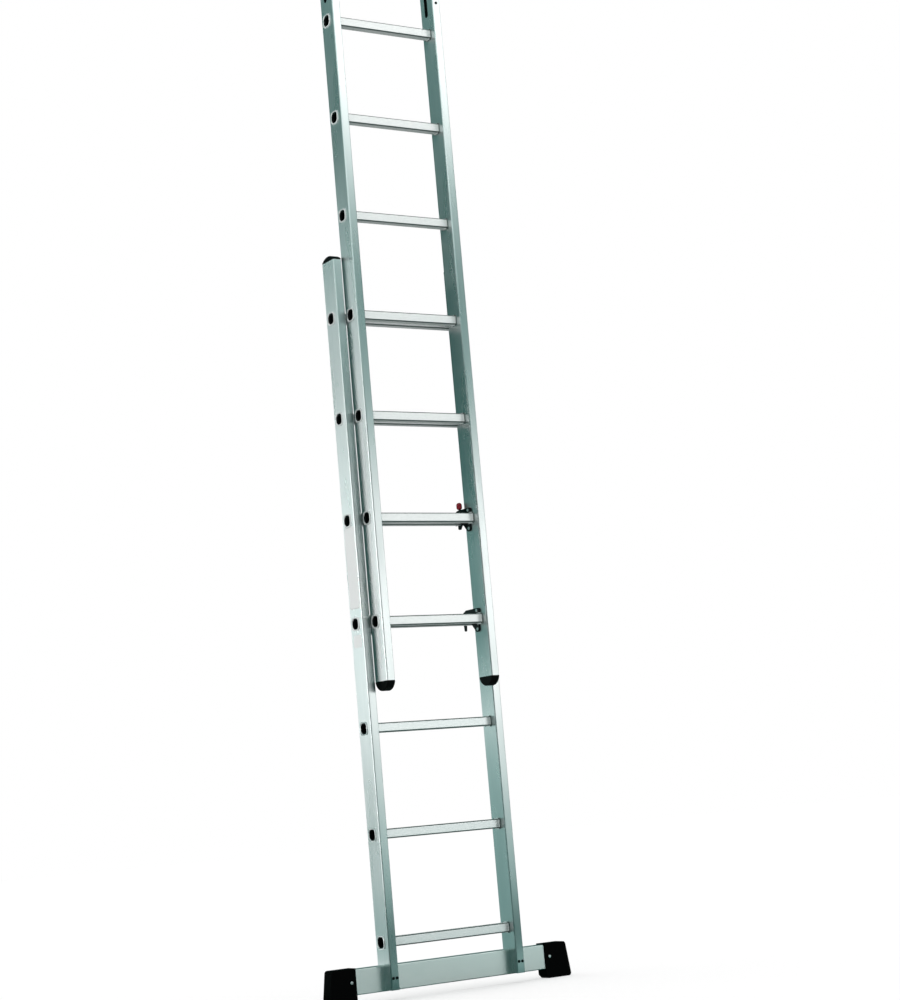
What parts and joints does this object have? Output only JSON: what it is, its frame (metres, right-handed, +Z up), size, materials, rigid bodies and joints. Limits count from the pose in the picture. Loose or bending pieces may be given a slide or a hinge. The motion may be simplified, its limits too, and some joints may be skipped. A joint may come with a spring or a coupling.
{
  "type": "extension ladder",
  "caption": "Two-section aluminium push-up extension ladder with a stabiliser bar, rung hooks and safety latches, drawn partly raised.",
  "frame": {"origin": "ground plane under the soles of the bar feet, in the middle of the ladder's width and of its overall depth at rest", "axes": "+X to the right seen from the climbing side, +Y from the climbing side to the wall, +Z up along the stiles"},
  "size_m": [0.7596, 0.1208, 2.845],
  "materials": {
    "stile_aluminium": "mill-finish extrusion",
    "rung_aluminium": "ribbed mill-finish extrusion",
    "bar_aluminium": "mill-finish tube",
    "black_plastic": "moulded",
    "foot_rubber": "moulded rubber",
    "black_steel": "black powder coat",
    "zinc_steel": "zinc plated",
    "red_plastic": "moulded"
  },
  "bodies": {
    "base_section": {"bar_bolts": "zinc_steel", "bar_foot_left": "foot_rubber", "bar_foot_right": "foot_rubber", "bar_nuts": "zinc_steel", "base_rung_1": "rung_aluminium", "base_rung_2": "rung_aluminium", "base_rung_3": "rung_aluminium", "base_rung_4": "rung_aluminium", "base_rung_5": "rung_aluminium", "base_rung_6": "rung_aluminium", "base_rung_7": "rung_aluminium", "base_stile_left": "stile_aluminium", "base_stile_right": "stile_aluminium", "base_top_cap_left": "black_plastic", "base_top_cap_right": "black_plastic", "foot_screws": "zinc_steel", "stabiliser_bar": "bar_aluminium"},
    "fly_section": {"fly_bottom_cap_left": "black_plastic", "fly_bottom_cap_right": "black_plastic", "fly_rung_1": "rung_aluminium", "fly_rung_2": "rung_aluminium", "fly_rung_3": "rung_aluminium", "fly_rung_4": "rung_aluminium", "fly_rung_5": "rung_aluminium", "fly_rung_6": "rung_aluminium", "fly_rung_7": "rung_aluminium", "fly_stile_left": "stile_aluminium", "fly_stile_right": "stile_aluminium", "fly_top_cap_left": "black_plastic", "fly_top_cap_right": "black_plastic", "hook_rivets": "zinc_steel", "latch_pivots": "zinc_steel", "latch_spring_left": "zinc_steel", "latch_spring_right": "zinc_steel", "liner_screws": "zinc_steel", "rung_1_hook_left": "black_steel", "rung_1_hook_right": "black_steel", "rung_2_hook_left": "black_steel", "rung_2_hook_right": "black_steel", "slot_liner_left": "black_plastic", "slot_liner_right": "black_plastic"},
    "latch_right": {"safety_latch_right": "black_steel", "latch_knob_right": "red_plastic"},
    "latch_left": {"safety_latch_left": "black_steel", "latch_knob_left": "red_plastic"}
  },
  "joints": [
    {"name": "fly_slide", "type": "slide", "parent": "base_section", "child": "fly_section", "axis": [0, 0, 1], "range_m": [-0.56, 0.28]},
    {"name": "latch_right_hinge", "type": "hinge", "parent": "fly_section", "child": "latch_right", "pos_m": [0.141, 0.0024, 1.27], "axis": [1, 0, 0], "range_deg": [-24, 0], "stiffness_Nm_per_rad": 0.03, "springref_deg": 20.05},
    {"name": "latch_left_hinge", "type": "hinge", "parent": "fly_section", "child": "latch_left", "pos_m": [-0.141, 0.0024, 1.27], "axis": [1, 0, 0], "range_deg": [-24, 0], "stiffness_Nm_per_rad": 0.03, "springref_deg": 20.05}
  ]
}
